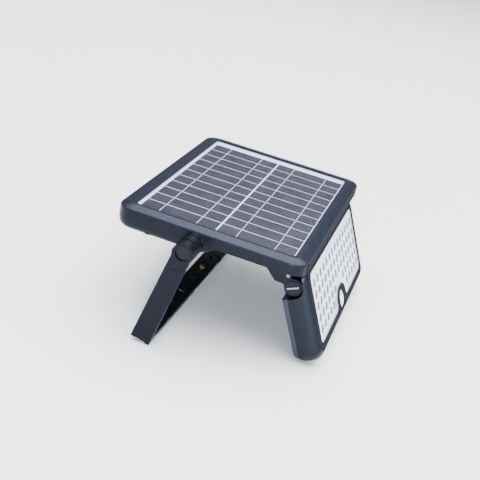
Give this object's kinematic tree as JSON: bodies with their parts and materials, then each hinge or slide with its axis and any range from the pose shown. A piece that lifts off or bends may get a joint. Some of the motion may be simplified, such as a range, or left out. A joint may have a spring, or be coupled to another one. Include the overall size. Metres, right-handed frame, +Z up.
{
  "type": "solar flood light",
  "caption": "A framed solar panel case on a two-piece U bracket, with a wide LED lamp and motion sensor hinged under its front edge",
  "frame": {"origin": "Middle of the box around the light, on the floor it stands on", "axes": "+Z up, +Y along the bracket's pivot axis and the long side of the case, +X from the bracket towards the lamp"},
  "size_m": [0.2252, 0.3062, 0.1227],
  "materials": {
    "case_shell": "satin charcoal moulded plastic",
    "bezel_shell": "satin slate-blue moulded plastic",
    "lamp_shell": "satin charcoal moulded plastic",
    "bracket_shell": "satin charcoal glass-filled plastic",
    "cover_glass": "clear toughened cover with a soft gloss",
    "cell_face": "blue-violet silicon cells under resin",
    "backsheet": "white laminate sheet",
    "diffuser": "frosted white diffuser",
    "dome_white": "translucent white sensor dome",
    "dark_plastic": "black plastic",
    "rubber": "soft black rubber",
    "steel": "zinc-plated steel",
    "black_steel": "blackened steel",
    "brass": "brass",
    "circuit": "green circuit board",
    "white_board": "white-faced LED board",
    "led_chip": "pale yellow LED chip",
    "heat_plate": "plain sheet aluminium",
    "battery_wrap": "blue shrink-wrapped cell",
    "sensor_can": "plated sensor can"
  },
  "bodies": {
    "bracket": {"near_bracket_half": "bracket_shell", "far_bracket_half": "bracket_shell", "joint_screws": "black_steel", "joint_nuts": "brass", "near_friction_ring": "dark_plastic", "far_friction_ring": "dark_plastic", "pivot_cap": "dark_plastic"},
    "case": {"top_bezel": "bezel_shell", "solar_glass": "cover_glass", "solar_cells": "cell_face", "white_backsheet": "backsheet", "case_seal": "rubber", "lower_case": "case_shell", "case_screws": "steel", "pivot_bolts": "steel", "pivot_nuts": "steel", "near_hinge_lug": "case_shell", "far_hinge_lug": "case_shell", "lug_screws": "steel", "hinge_pins": "steel", "hinge_caps": "dark_plastic", "lug_end_screws": "steel", "battery_cells": "battery_wrap", "battery_tray": "dark_plastic", "charge_board": "circuit", "board_parts": "dark_plastic", "case_gland": "rubber", "button_boot": "rubber", "power_switch": "dark_plastic"},
    "button": {"power_button": "rubber"},
    "lamp": {"lamp_body": "lamp_shell", "lamp_lens": "diffuser", "lens_seal": "rubber", "led_board": "white_board", "heat_plate": "heat_plate", "led_chips": "led_chip", "sensor_dome": "dome_white", "sensor_board": "circuit", "sensor_can": "sensor_can", "lamp_back": "lamp_shell", "back_screws": "steel", "lamp_gland": "rubber"}
  },
  "joints": [
    {"name": "bracket_pivot", "type": "hinge", "parent": "bracket", "child": "case", "pos_m": [-0.02934, 0.0111, 0.10616], "axis": [0, 1, 0], "range_deg": [-150, 35]},
    {"name": "lamp_tilt", "type": "hinge", "parent": "case", "child": "lamp", "pos_m": [0.06869, 0.0111, 0.07856], "axis": [0, 1, 0], "range_deg": [-20, 55]},
    {"name": "button_press", "type": "slide", "parent": "case", "child": "button", "axis": [0.0295, 0, 0.9996], "range_m": [0, 0.0015], "stiffness_N_per_m": 400}
  ]
}
